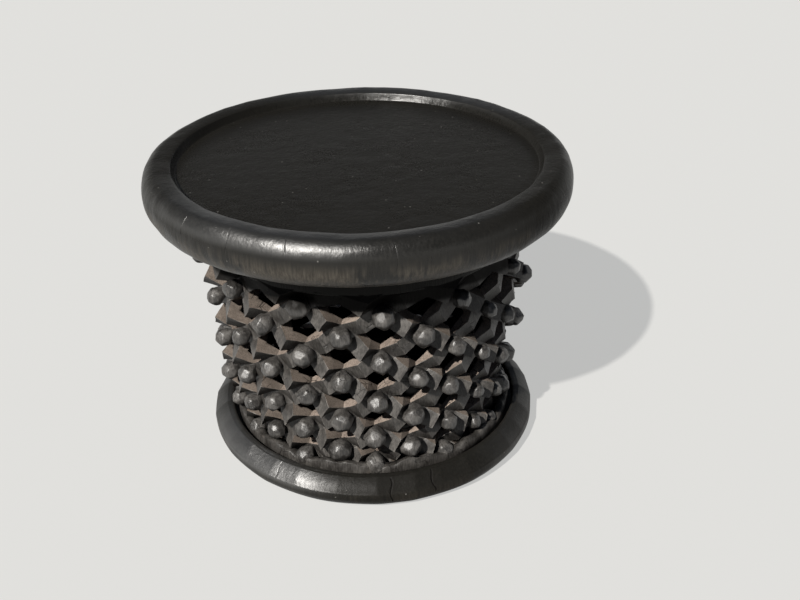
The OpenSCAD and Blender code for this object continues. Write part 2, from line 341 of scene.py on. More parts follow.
def blackened_wood(name, rub_low, rub_high, rub, polish_low, polish_r,
                   wax=0.35, gloss=0.10, matt=0.0, sheen=1.0):
    """Black wax over upright grain. Grey-brown is rubbed in where the height is between rub_low and rub_high.
    The hand polish lies above polish_low and outside polish_r: there sheen is added to the wax's shine and
    gloss to the roughness, and elsewhere matt is. The steps' thresholds are shares of a noise from 0 to 1."""
    f = Finish(name)
    away = f.add("VectorMath", {0: f.stretched(1, 1, 0)}, out=1, operation="LENGTH")
    height = f.axis(2)
    grain = f.noise(1.0, 5, 0.7, f.stretched(*GRAIN))
    streak = f.noise(1.0, 3, 0.6, f.stretched(*STREAK))
    cloud = f.noise(CLOUDS, 5, 0.6)
    spots = f.add("TexVoronoi", {"Vector": f.place, "Scale": SPECKS})
    speck = f.times(f.step(spots, 0.05, 0.08, 1.0, 0.0), f.step(f.noise(SPECK_CLUSTERS, 2, 0.5), 0.50, 0.54))
    crack = f.attribute("crack")

    band = f.times(f.step(height, rub_low - 0.012, rub_low + 0.004),
                   f.step(height, rub_high - 0.012, rub_high + 0.012, 1.0, 0.0))
    patchy = f.step(f.plus(cloud, f.times(streak, 0.45)), 0.67, 0.84)
    rubbed = f.times(f.times(band, patchy), rub)
    black = f.blend(f.step(grain, 0.35, 0.75), STAIN_DARK, STAIN_LIGHT)
    brown = f.blend(f.step(grain, 0.3, 0.7), RUBBED_DARK, RUBBED_LIGHT)
    worn = f.times(f.attribute("worn"), f.step(streak, 0.30, 0.62, 0.25, 1.0))
    # The cracks' black is painted shade, full where a cut crack is deep.
    colour = f.coats(black, (f.step(cloud, 0.35, 0.7), WAX_FILM), (rubbed, brown), (worn, WORN_BROWN),
                     (f.times(speck, 0.45), DUST), (crack, CRACK_SHADE))

    polish = f.times(f.step(height, polish_low - 0.008, polish_low + 0.004),
                     f.step(away, polish_r - 0.004, polish_r + 0.004))
    polish = f.times(f.attribute("polish"), polish)
    rough = f.step(f.plus(f.times(grain, 0.5), f.times(cloud, 0.5)), 0.3, 0.75, 0.24, 0.38)
    rough = f.plus(rough, f.math("MULTIPLY_ADD", polish, gloss - matt, matt))
    rough = f.plus(f.plus(rough, f.times(rubbed, 0.20)), f.times(crack, 0.3))
    shine = f.math("MULTIPLY_ADD", polish, sheen, wax)
    shine = f.times(shine, f.step(f.attribute("dull"), 0.0, 1.0, 1.0, DULL_SHINE))
    relief = f.relief((grain, 0.0003, 0.8), (f.noise(DENTS, 3, 0.55), 0.0016, 0.6), (streak, 0.0008, 0.6))
    f.set(f.shader, {"Base Color": colour, "Roughness": rough, "Normal": relief, "Specular IOR Level": shine})
    return f.material


tray_finish = blackened_wood("blackened_tray", rub_low=0.412, rub_high=0.446, rub=0.70,
                             polish_low=0.464, polish_r=0.283)
base_finish = blackened_wood("blackened_base", rub_low=0.0, rub_high=0.024, rub=0.30,
                             polish_low=0.028, polish_r=0.200, gloss=0.13, matt=0.18, sheen=1.8)
print("finishes:", tray_finish.name, base_finish.name)

# %% [markdown]
# ## Cracks
# A log that dries from green checks along its grain, so the rim and the base ring have upright cracks.
# A bump can't show a gap, so they are cut in the mesh. A crack is a path that wanders a little as it
# runs down, and the surface sinks beside it by a narrow bell curve. To hold a cut half a millimetre
# wide, the columns of the mesh stand close together near each crack and far apart elsewhere.

# %% Upright cracks in a turned surface
# Share of the profile over which a crack's ends fade, and the depth at which the painted shade in it is
# wholly black.
CRACK_FADE, CRACK_SEEN = 0.03, 0.0008


def cracks(*rows):
    """Each row is a crack: its angle, how far its path wanders and in how many turns, its width and depth,
    and where on the profile, from 0 to 1, it starts and ends."""
    words = ("at", "wander", "turns", "width", "depth", "start", "end")
    return [dict(zip(words, row)) for row in rows]


def crowded_angles(even, fissures, spread, extra=20):
    """Even angles round the circle, with extra ones close to each crack, spaced by a cube so that most are at
    its middle."""
    near = [c["at"] + spread * np.linspace(-1, 1, extra) ** 3 for c in fissures]
    return np.unique(np.round(np.concatenate([round_angles(even), *near]) % (2 * np.pi), 6))


def crack_depth(angles, along, radius, fissures):
    """Bell curve across each crack's wandering path, times a window along the profile: columns are angles,
    rows are places along."""
    total = np.zeros((len(along), len(angles)))
    for c in fissures:
        path = c["at"] + c["wander"] / radius * np.sin(along[:, None] * c["turns"] * 2 * np.pi + c["at"] * 7)
        across = (np.angle(np.exp(1j * (angles[None, :] - path)))) * radius / c["width"]
        window = ramp(along - c["start"], CRACK_FADE) * ramp(c["end"] - along, CRACK_FADE)
        total = np.maximum(total, c["depth"] * np.exp(-across ** 2) * window[:, None])
    return total


# %% [markdown]
# ## The tray
# The tray is a shallow dish with a rolled rim: a flat floor, a slope, a soft shoulder, a crest, and a
# tall oval outside that turns under. It could be a lathe shape from a Screw modifier, but hand work
# shows as a surface that is not quite round, so the profile is carried round the axis as an array,
# and the unevenness and the cracks are added to the whole array at once. Angle 0 is the front.

# %% Profile of the tray
# Radii of the rings on the floor and on the underside, and where the floor's slope starts to bend.
FLOOR_RINGS = (0.0001, 0.03, 0.07, 0.11, 0.15, 0.19, 0.22, 0.245, 0.262)
UNDER_RINGS = (0.280, 0.26, 0.18, 0.08, 0.0001)
SLOPE_START, SLOPE_BEND = 0.266, 0.0015


def rounded(corners, bend, cuts):
    """A polyline whose inner corners are cut by a quadratic curve that starts bend away from each corner, or
    0.45 of a side that is short."""
    line = [np.array(corners[0])]
    for before, corner, after in zip(corners, corners[1:], corners[2:]):
        before, corner, after = map(np.array, (before, corner, after))
        a, b = before - corner, after - corner
        reach = min(bend, 0.45 * np.hypot(*a), 0.45 * np.hypot(*b))
        p, q = corner + a / np.hypot(*a) * reach, corner + b / np.hypot(*b) * reach
        t = np.linspace(0, 1, cuts)[:, None]
        line.extend((1 - t) ** 2 * p + 2 * t * (1 - t) * corner + t * t * q)
    line.append(np.array(corners[-1]))
    return np.array(line)


def oval(centre_r, centre_z, half_w, half_h, start, end, cuts):
    """Points of an ellipse by angle in degrees; 90 is its top and 0 its outside."""
    a = np.radians(np.linspace(start, end, cuts))
    return np.stack([centre_r + half_w * np.cos(a), centre_z + half_h * np.sin(a)], 1)


def tray_profile():
    """From the middle of the tray floor outward, over the rim, and back under to the middle."""
    under = math.degrees(math.asin((BOARD_Z - RIM_Z) / (RIM_H / 2)))
    shoulder_w = CREST_R - FLOOR_R - STEEP_W
    floor = [(r, FLOOR_Z) for r in FLOOR_RINGS]
    a = np.radians(np.linspace(0, 90, 12))
    shoulder = np.stack([CREST_R - shoulder_w * np.cos(a), TABLE_H - STEEP_SHOULDER * (1 - np.sin(a))], 1)
    slope = rounded([(SLOPE_START, FLOOR_Z), (FLOOR_R, FLOOR_Z), tuple(shoulder[0])], SLOPE_BEND, 6)
    roll = oval(CREST_R, RIM_Z, CREST_IN, RIM_H / 2, 90, -180 - under, 46)
    below = [(r, BOARD_Z) for r in UNDER_RINGS]
    return np.concatenate([floor, slope, shoulder[1:], roll[1:], below])


profile = tray_profile()
along = np.linspace(0, 1, len(profile))
print("tray profile of", len(profile), "points, widest", profile[:, 0].max())

# %% Turning a profile, and pushing its surface in


def about_axis(r, z, angles):
    """A radius and a height carried round the Z axis: x is r sin angle and y is -r cos angle, so that angle 0
    is the front."""
    return np.stack([r * np.sin(angles), -r * np.cos(angles), z + 0 * angles], -1)


def turned(profile, angles):
    """Every point of the profile, carried round."""
    return about_axis(profile[:, :1], profile[:, 1:], angles)


def outward(profile):
    """Unit normals of a profile that runs from the axis over the top to the outside: the tangent turned
    left."""
    t = np.gradient(profile, axis=0)
    n = np.stack([-t[:, 1], t[:, 0]], 1)
    return n / np.maximum(np.linalg.norm(n, axis=1, keepdims=True), 1e-9)


def pushed(points, normals, angles, depth):
    """Moves the points of a turned surface along its normals, which are given in the profile's plane."""
    return points + turned(normals, angles) * depth[..., None]


def bell_round(angles, middle, reach, least=0.0):
    """By angle: 1 at the middle, falling by a flat-topped bell curve of that reach to the least value."""
    away = (np.degrees(angles) - middle + 180) % 360 - 180
    return least + (1 - least) * np.exp(-(away / reach) ** 4)


def at_all_rings(profile, by_angle):
    """The same numbers by angle, for each point of the profile."""
    return np.ones(len(profile))[:, None] * by_angle


# %% The tray's surface
tray_cracks = cracks(
    (-0.565, 0.0016, 4, 0.0004, 0.0013, 0.36, 0.56),
    (-0.300, 0.0010, 5, 0.0004, 0.0010, 0.34, 0.50),
    (-0.820, 0.0014, 3, 0.0004, 0.0008, 0.40, 0.56),
    (0.140, 0.0012, 4, 0.0004, 0.0007, 0.44, 0.60),
    (2.300, 0.0015, 4, 0.0007, 0.0014, 0.35, 0.68),
    (3.900, 0.0012, 3, 0.0006, 0.0012, 0.38, 0.64),
)
# The rim was shaved by hand: it lies this much inside the solid, and hand work begins over this width.
RIM_SHAVED, HAND_FADE = 0.0004, 0.02
rim_share = ramp(profile[:, 0] - FLOOR_RINGS[-1], HAND_FADE)[:, None]

angles = crowded_angles(even=660, fissures=tray_cracks, spread=0.016)
tray_points = turned(profile, angles)
hand = hand_work(tray_points, (0.16, 3, 0.0007), (0.045, 4, 0.00028))
fissure = crack_depth(angles, along, TRAY_R, tray_cracks)
sink = -np.abs(hand) * rim_share - RIM_SHAVED * rim_share - fissure
tray_points = pushed(tray_points, outward(profile), angles, sink)
tray = mesh_piece("tray", tray_points, grid_faces(len(profile), len(angles))[:, ::-1], tray_finish)
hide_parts("tray_board", "tray_rim")

# %% Where the tray is worn, polished and dull
# Height and half width of the worn line under the rim, and how dull the tray's floor is.
WORN_Z, WORN_HALF, FLOOR_DULL = 0.4135, 0.0018, 0.8
on_outside = (profile[:, 0] > CREST_R - 0.006)[:, None]
polished = np.maximum(bell_round(angles, -35, 35, 0.2), bell_round(angles, 165, 55, 0.2))
dull_sides = np.maximum(bell_round(angles, -106, 56), bell_round(angles, 78, 48))

paint(tray, "crack", ramp(fissure, CRACK_SEEN))
paint(tray, "worn", np.exp(-((tray_points[..., 2] - WORN_Z) / WORN_HALF) ** 2) * on_outside)
paint(tray, "polish", at_all_rings(profile, polished))
paint(tray, "dull", rim_share * dull_sides + FLOOR_DULL * (1 - rim_share))

# %% [markdown]
# ## The base ring
# The base ring is a thick hoop with a bulging outside, a rounded lip and a ledge inside, on which the
# drum stands. It is made as the tray is, with its own centre: the drum and its foot stand a little to
# the right of the tray. Its upper slope was trimmed with a blade, which leaves short flat facets, so
# the surface sinks there to the chords of a many-sided outline.

# %% Profile of the base ring
# The outer roll is flattened between two of its points, by this share of the way to a straight line.
TRIM_START, TRIM_END, TRIMMED = 2, 21, 0.62
# Degrees that a facet spans, the deepest cut of a corner, and the least angle left for the last facet.
FACET_MIN, FACET_MAX, FACET_CUT, LAST_FACET = 8, 14, 0.0016, 0.12


def base_profile():
    """Closed loop: up the hole's wall, out along the ledge, up the lip, over the crest, down to the foot."""
    a = np.radians(np.linspace(90, 0, 9))
    lip_r = BASE_CREST_R - (BASE_CREST_R - LIP_R) * np.sin(a)
    lip = np.stack([lip_r, BASE_H - LIP_FALL * (1 - np.cos(a))], 1)
    inner = rounded([(HOLE_R, 0.001), (HOLE_R, LEDGE_Z), (LIP_R, LEDGE_Z), tuple(lip[0])], 0.002, 4)
    roll = oval(BASE_CREST_R, BASE_H / 2, BASE_CREST_IN, BASE_H / 2, 90, -90, 49)
    share = np.linspace(0, 1, TRIM_END - TRIM_START + 1)[:, None]
    chord = roll[TRIM_START] + (roll[TRIM_END] - roll[TRIM_START]) * share
    roll[TRIM_START:TRIM_END + 1] += (chord - roll[TRIM_START:TRIM_END + 1]) * TRIMMED
    foot = [(BASE_CREST_R - 0.02, 0), (HOLE_R + 0.002, 0)]
    return np.concatenate([inner[:-1], lip, roll[1:], foot])


def blade_facets(angles, radius, seed):
    """How deep flat cuts lie below the circle: a ray from the middle meets the straight chord between two
    corners at their cross product over the chord's cross product with the ray."""
    draw = np.random.default_rng(seed)
    corners = np.cumsum(np.radians(draw.uniform(FACET_MIN, FACET_MAX, 60)))
    corners = np.concatenate([[0], corners[corners < 2 * np.pi - LAST_FACET], [2 * np.pi]])
    reach = radius - draw.uniform(0, FACET_CUT, len(corners))
    reach[-1] = reach[0]
    x, y = reach * np.cos(corners), reach * np.sin(corners)
    i = np.clip(np.searchsorted(corners, angles % (2 * np.pi), side="right") - 1, 0, len(corners) - 2)
    chord_x, chord_y = x[i + 1] - x[i], y[i + 1] - y[i]
    across = np.cos(angles) * chord_y - np.sin(angles) * chord_x
    return radius - (x[i] * y[i + 1] - y[i] * x[i + 1]) / across


# %% The base ring's surface
base_cracks = cracks(
    (0.080, 0.0018, 3, 0.0007, 0.0014, 0.30, 0.72),
    (0.330, 0.0020, 3, 0.0008, 0.0015, 0.28, 0.66),
    (-0.620, 0.0010, 4, 0.0006, 0.0010, 0.30, 0.60),
    (1.900, 0.0016, 4, 0.0007, 0.0013, 0.28, 0.70),
    (3.600, 0.0014, 3, 0.0007, 0.0012, 0.30, 0.68),
)
# Width over which hand work begins at the lip and at the foot, and the facets' lowest height and its fade.
EDGE_FADE, FACETS_FROM, FACETS_FADE = 0.008, 0.018, 0.014
hoop = base_profile()
angles = crowded_angles(even=560, fissures=base_cracks, spread=0.020)
base_points = turned(hoop, angles)
outside = ramp(hoop[:, 0] - LIP_R, EDGE_FADE)[:, None] * ramp(hoop[:, 1], EDGE_FADE)[:, None]
upper_slope = ramp(hoop[:, 1] - FACETS_FROM, FACETS_FADE)[:, None]

facets = blade_facets(angles, BASE_CREST_R + BASE_CREST_IN, seed=17)
cut_away = np.abs(hand_work(base_points, (0.11, 11, 0.0006))) + upper_slope * facets
fissure = crack_depth(angles, np.linspace(0, 1, len(hoop)), BASE_CREST_R, base_cracks)
closed = np.concatenate([hoop[-1:], hoop, hoop[:1]])
base_points = pushed(base_points, outward(closed)[1:-1], angles, -(cut_away * outside) - fissure * outside)
base_points[..., 0] += FOOT_OFFSET
base = mesh_piece("base", base_points, grid_faces(len(hoop), len(angles), True)[:, ::-1], base_finish)
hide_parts("base_ring")

# %% Where the base ring is worn, polished and dull
at_lip = np.abs(hoop[:, 0] - LIP_R) < 0.004
lip_edge = np.exp(-((hoop[:, 1] - BASE_H + LIP_FALL) / 0.002) ** 2) * at_lip
paint(base, "crack", ramp(fissure, CRACK_SEEN))
paint(base, "worn", np.repeat(lip_edge[:, None], len(angles), 1) * 0.5)
paint(base, "polish", at_all_rings(hoop, bell_round(angles, -49, 28, 0.08)))
paint(base, "dull", at_all_rings(hoop, 0.8 * bell_round(angles, 12, 34)))

# %% [markdown]
# ## The drum, drawn flat
# The drum's wall is a net of crossings. It is easiest to draw it flat, with x along the wall and z up,
# and wrap it afterwards. Each crossing has four half legs, which end at a knee about halfway to the
# next crossing. The points of a leg come from lines that run beside its axis.

# %% Crossings and their neighbours on the flat drawing


def crossing(row, k):
    """Centre of a crossing on the flat drawing: every second row is moved by half a step, and each row is
    twisted a little past the one above."""
    turn = FRONT_TURN + (STEP / 2 if row % 2 == 0 else 0) - ROW_TWIST * (row - 1)
    return np.array([WRAP * (turn + STEP * k), row_height(row)])


def neighbour(row, k, side, up):
    """The crossing at the other end of a leg: half a step to one side, one row up or down."""
    x = crossing(row, k)[0] + WRAP * (side * STEP / 2 + ROW_TWIST * up)
    z = row_height(row) - FOOT_DROP if row - up > ROWS else row_height(row - up)
    return np.array([x, z])


def unit(v):
    """The vector over its length."""
    return v / np.hypot(*v)


def left_of(v):
    """The vector turned left by a quarter."""
    return np.array([-v[1], v[0]])


# %% Outlines of a spider, of a foot and of a crown point
# How far the net runs into the ledge below it and the collar above it.
SUNK = 0.003


def crotch(c, a, b, half):
    """Where the line left of the leg to a meets the line right of the leg to b, each half a leg's width off
    its axis."""
    da, db = unit(a - c), unit(b - c)
    pa, pb = c + left_of(da) * half, c - left_of(db) * half
    t = (db[0] * (pb[1] - pa[1]) - db[1] * (pb[0] - pa[0])) / (da[1] * db[0] - da[0] * db[1])
    return pa + da * t


def outline(row, k, half):
    """Twelve points round a crossing: for each leg the crotch before it and the two corners of its knee."""
    c = crossing(row, k)
    n = [neighbour(row, k, side, up) for side, up in ((1, 1), (-1, 1), (-1, -1), (1, -1))]
    points = []
    for i, share in enumerate((0.5, 1 - KNEE_SHARE, 0.5, KNEE_SHARE)):
        knee = c + (n[i] - c) * share
        beside = left_of(unit(n[i] - c)) * half
        points += [crotch(c, n[i - 1], n[i], half), knee - beside, knee + beside]
    return points


def foot_outline(k, half):
    """The last row's outline: its lower legs are cut off level at the ledge."""
    c, whole = crossing(ROWS, k), outline(ROWS, k, half)
    ends = []
    for side in (-1, 1):
        d = unit(neighbour(ROWS, k, side, -1) - c)
        p = c + left_of(d) * half * side
        ends.append(p[0] + d[0] * (LEDGE_Z - p[1]) / d[1])
    l, r = ends
    level = [np.array([x, LEDGE_Z - SUNK]) for x in (l, (l + c[0]) / 2, c[0], (r + c[0]) / 2, r)]
    return whole[:7] + level


def crown_outline(k, half):
    """The collar's point above a first-row crossing: from its upper legs' knees to the collar's edge."""
    own, c = outline(1, k, half), crossing(1, k)
    right, left = neighbour(1, k, 1, 1), neighbour(1, k, -1, 1)
    middle, across, lift = (right + left) / 2, np.array([STEP * WRAP, 0]), np.array([0, SUNK])
    rising = [own[3], own[2], own[1], crotch(right, c, c + across, half)]
    top = [right, (right + middle) / 2, middle, (left + middle) / 2, left]
    return rising + [point + lift for point in top] + [crotch(left, c - across, c, half), own[5], own[4]]


# %% [markdown]
# ## The drum's wall
# The wall is one skin: the outer faces of the legs, the faces towards the hollow, and the side walls
# of the windows. The quads of all crossings are put in one list, equal corners are merged, and so the
# knees close without a seam. Each quad carries a mark: outer skin, a wall that the blade cut, a face towards
# the hollow, or a cut wall at a window's upper right, which gets painted shade. Edges get theirs later.

# %% From the flat drawing to the drum
MARKS = range(5)
# The last mark is for a cut wall at a window's upper right, which faces away from the sun and is painted
# darker, as painted shade.
SKIN, CUT, EDGE, HOLLOW, SHADED_WALL = MARKS
# The edges of a crossing whose walls are at the upper right of a window.
UPPER_RIGHT = ((3, 4), (11, 0))
# In radians, how far the blade is turned towards the front or the back, and to the left.
BLADE_TURN, BLADE_LEFT = 0.375, 0.14


def wrapped(point, radius):
    """A point of the flat drawing on the drum: its x is an angle, and the axis leans with the height."""
    a = math.radians(point[0] / WRAP)
    x = FOOT_OFFSET * (1 - point[1] / FLOOR_Z) + radius * math.sin(a)
    return (x, -radius * math.cos(a), point[1])


def behind(point, radius, thick):
    """The same point further in, along the blade: the inward angle, turned by the sine of twice itself
    towards the front or the back, where the carver stood."""
    a = math.radians(point[0] / WRAP)
    blade = a - BLADE_TURN * math.sin(2 * a) - BLADE_LEFT
    x, y, z = wrapped(point, radius)
    return (x - thick * math.sin(blade), y + thick * math.cos(blade), z)


def wall_quads(outer, inner, radii, tiles, open_edges, notch=3):
    """Outer tiles, the same tiles turned round inside, and a wall along every edge that isn't shared. The
    notched crotch is cut thinner."""
    o = [wrapped(p, r) for p, r in zip(outer, radii)]
    thick = [CROTCH_THICK if corner == notch else LEG_THICK for corner in range(len(radii))]
    i = [behind(p, r, t) for p, r, t in zip(inner, radii, thick)]
    quads = [([o[a] for a in tile], SKIN) for tile in tiles]
    quads += [([i[a] for a in reversed(tile)], HOLLOW) for tile in tiles]
    for a, b in open_edges:
        quads.append(([o[b], o[a], i[a], i[b]], SHADED_WALL if (a, b) in UPPER_RIGHT and notch else CUT))
    return quads


def both(draw, *which):
    """An outline for the outer faces, and a slightly wider one for the faces towards the hollow."""
    return draw(*which, LEG_W / 2), draw(*which, LEG_W / 2 + LEG_FLARE)


# %% Quads of a spider, of a foot and of a crown point
SPIDER_TILES = [(0, 3, 6, 9), (0, 1, 2, 3), (3, 4, 5, 6), (6, 7, 8, 9), (9, 10, 11, 0)]


def spider_quads(row, k):
    """A crossing and its four half legs. The two that rise to the right run nearly straight, the other two
    have the bold knees."""
    low, up, down = knee_radius(row) - VALLEY, knee_radius(row - 0.5), knee_radius(row + 0.5)
    radii = [low, up - STRAIGHT, up - STRAIGHT, low, up - BOLD, up - BOLD]
    radii += [low, down - STRAIGHT, down - STRAIGHT, low, down - BOLD, down - BOLD]
    edges = [(0, 1), (5, 6), (6, 7), (8, 9), (9, 10), (11, 0)] + ([(2, 3), (3, 4)] if row > 1 else [])
    return wall_quads(*both(outline, row, k), radii, SPIDER_TILES, edges)


def foot_quads(k):
    """A last-row crossing, whose lower legs end in the ledge."""
    low, up, knee = knee_radius(ROWS) - VALLEY, knee_radius(ROWS - 0.5), knee_radius(ROWS)
    mid = knee - VALLEY / 2
    radii = [low, up - STRAIGHT, up - STRAIGHT, low, up - BOLD, up - BOLD, low, knee, mid, low, mid, knee]
    edges = [(0, 1), (2, 3), (3, 4), (5, 6), (6, 7), (7, 8), (8, 9), (9, 10), (10, 11), (11, 0)]
    return wall_quads(*both(foot_outline, k), radii, SPIDER_TILES, edges)


def crown_quads(k):
    """The collar's point above a first-row crossing; its top edge ends inside the collar."""
    up = knee_radius(0.5)
    radii = [knee_radius(1) - VALLEY, up - STRAIGHT, up - STRAIGHT] + [COLLAR_R] * 7 + [up - BOLD, up - BOLD]
    tiles = [(1, 2, 3, 4), (1, 4, 5, 6), (0, 1, 6, 11), (11, 6, 7, 8), (11, 8, 9, 10)]
    edges = [(2, 3), (9, 10), (4, 5), (5, 6), (6, 7), (7, 8)]
    return wall_quads(*both(crown_outline, k), radii, tiles, edges, notch=0)


quads = []
for k in range(SPIDERS):
    quads += crown_quads(k) + foot_quads(k)
    for row in range(1, ROWS):
        quads += spider_quads(row, k)
print(len(quads), "quads of the wall")

# %% [markdown]
# ## Worn edges and the drift of the hand
# A knife leaves crisp edges and years of hands round them, so the wall gets a narrow Bevel, whose faces
# keep a mark of their own, and one Subdivision to soften it. The marks become smooth attributes for
# the finish: where the wall is cut, and where an edge is worn. Last, the whole net drifts: the carver's
# rows are not level, and no two windows are alike.

# %% Close the seams, soften the edges
MERGE_WITHIN, BEVEL_W, BEVEL_CUTS, SHARP_EDGE = 1e-4, 0.0014, 2, math.radians(14)


def closed_mesh(quads, material):
    """One mesh from loose quads: equal corners are merged, and faces turned outward. A quad's mark is the
    number of its material, and the material is the same for all marks."""
    corners = np.array([corner for quad, _ in quads for corner in quad])
    mesh = bpy.data.meshes.new("wall")
    mesh.from_pydata(corners, [], np.arange(len(corners)).reshape(-1, 4).tolist())
    for _ in MARKS:
        mesh.materials.append(material)
    mesh.polygons.foreach_set("material_index", np.array([mark for _, mark in quads]))
    work = bmesh.new()
    work.from_mesh(mesh)
    bmesh.ops.remove_doubles(work, verts=work.verts, dist=MERGE_WITHIN)
    bmesh.ops.recalc_face_normals(work, faces=work.faces)
    open_edges = sum(1 for edge in work.edges if len(edge.link_faces) != 2)
    work.to_mesh(mesh)
    work.free()
    print(len(mesh.vertices), "corners,", len(mesh.polygons), "faces,", open_edges, "open edges")
    return mesh


def softened(mesh):
    """The mesh after a bevel of its sharp edges and one plain subdivision, with both applied."""
    block = placed("softening", mesh)
    bevel = block.modifiers.new("worn edges", "BEVEL")
    bevel.width, bevel.segments = BEVEL_W, BEVEL_CUTS
    bevel.limit_method, bevel.angle_limit = "ANGLE", SHARP_EDGE
    bevel.material = EDGE
    finer = block.modifiers.new("finer", "SUBSURF")
    finer.subdivision_type, finer.levels, finer.render_levels = "SIMPLE", 1, 1
    bpy.context.view_layer.update()
    done = bpy.data.meshes.new_from_object(block.evaluated_get(bpy.context.evaluated_depsgraph_get()))
    bpy.data.objects.remove(block)
    return done


def arrays(mesh):
    """Points, normals, faces and, for each point, the share of the faces round it that carry each mark."""
    points, normals = np.zeros(len(mesh.vertices) * 3), np.zeros(len(mesh.vertices) * 3)
    mesh.vertices.foreach_get("co", points)
    mesh.vertices.foreach_get("normal", normals)
    faces = np.zeros(len(mesh.loops), int)
    mesh.loops.foreach_get("vertex_index", faces)
    marks = np.zeros(len(mesh.polygons), int)
    mesh.polygons.foreach_get("material_index", marks)
    counts = np.bincount(faces, minlength=len(mesh.vertices))
    shares = [np.bincount(faces, np.repeat(marks == mark, 4), len(mesh.vertices)) / counts for mark in MARKS]
    return points.reshape(-1, 3), normals.reshape(-1, 3), faces.reshape(-1, 4), shares


# %% The drift of the rows
# Turn in degrees, height, reach of both, and how far the place is pulled along the wall, up and out.
PULLS = [
    (-20, 0.31, 16, 0.06, 0.005, 0.011, 0),
    (-32, 0.19, 22, 0.08, 0.011, 0.007, 0),
    (-60, 0.20, 13, 0.09, 0, -0.009, 0),
    (12, 0.11, 14, 0.08, -0.005, 0.001, 0),
    (34, 0.19, 16, 0.06, -0.006, 0.008, 0),
    (-78, 0.17, 14, 0.13, 0, 0, 0.012),
    (-92, 0.345, 26, 0.08, 0, 0, 0.019),
    (88, 0.29, 28, 0.13, 0, 0, 0.018),
]
# Height over which the drift dies out at the ledge and at the collar.
DRIFT_FADE = 0.03


def drifted(points):
    """Moves points of the drum: a sum of bell-shaped pulls and smooth waves, which die out at both ends."""
    height = points[..., 2]
    fade = ramp(height - LEDGE_Z, DRIFT_FADE) * ramp(CROWN_Z - height, DRIFT_FADE)
    waves = [hand_work(points, (0.14, seed, 0.0007), (0.055, seed + 5, 0.0011)) for seed in (21, 22, 23)]
    turn = np.arctan2(points[..., 0] - FOOT_OFFSET * (1 - height / FLOOR_Z), -points[..., 1])
    pulled = np.zeros((3, *height.shape))
    for at, high, wide, tall, *pull in PULLS:
        weight = np.exp(-((np.degrees(turn) - at) / wide) ** 2 - ((height - high) / tall) ** 2)
        pulled += np.array(pull).reshape(3, *[1] * height.ndim) * weight
    along, lift, out = pulled
    moved = [along * np.cos(turn) + out * np.sin(turn), along * np.sin(turn) - out * np.cos(turn), lift]
    return points + (np.stack(waves, -1) + np.stack(moved, -1)) * fade[..., None]


# %% [markdown]
# ## The drum's finish
# The blackening lies on the outer faces, which were rubbed and waxed to a dark grey. The walls of the windows
# were cut later or rubbed less, and show the wood: a dry taupe with fine end grain. Edges are worn light, and
# that light also serves as a painted highlight along them. Shade is painted on: the walls at a window's upper
# right are darker, and undersides, walls away from the sun, the band under the collar and the hollow are
# nearly black. The colours follow the attributes that the mesh carries, because a window's wall can't be
# found by height alone.

# %% The colours of the net and its knobs
# Painted shade: the wall colour for a window's upper right, the shade black for undersides, and the near
# black for the band under the collar and for the hollow. The light edge colour is wear and a painted
# highlight together.
WALL_SHADE, PORE_BROWN, WORN_EDGE_HIGHLIGHT = (0.048, 0.043, 0.036), (0.045, 0.036, 0.030), (0.34, 0.315, 0.29)
CHECK_BLACK, SHADE_BLACK, DEEP_SHADE_BLACK = (0.010, 0.008, 0.007), (0.008, 0.007, 0.006), (0.006, 0.0055, 0.005)
# Patterns per metre: fibres along x, y and z, and the others in all directions.
FIBRE, MOTTLE, PATCHES, PORES = (520, 520, 60), 42, 14, 900
CHECKS, CHECK_CLUSTERS = 62.0, 17
# Painted shade from the tray lies between these depths below the collar.
TRAY_SHADE_LOW, TRAY_SHADE_HIGH = 0.036, 0.014

# %% The dry, greyed wood of the net


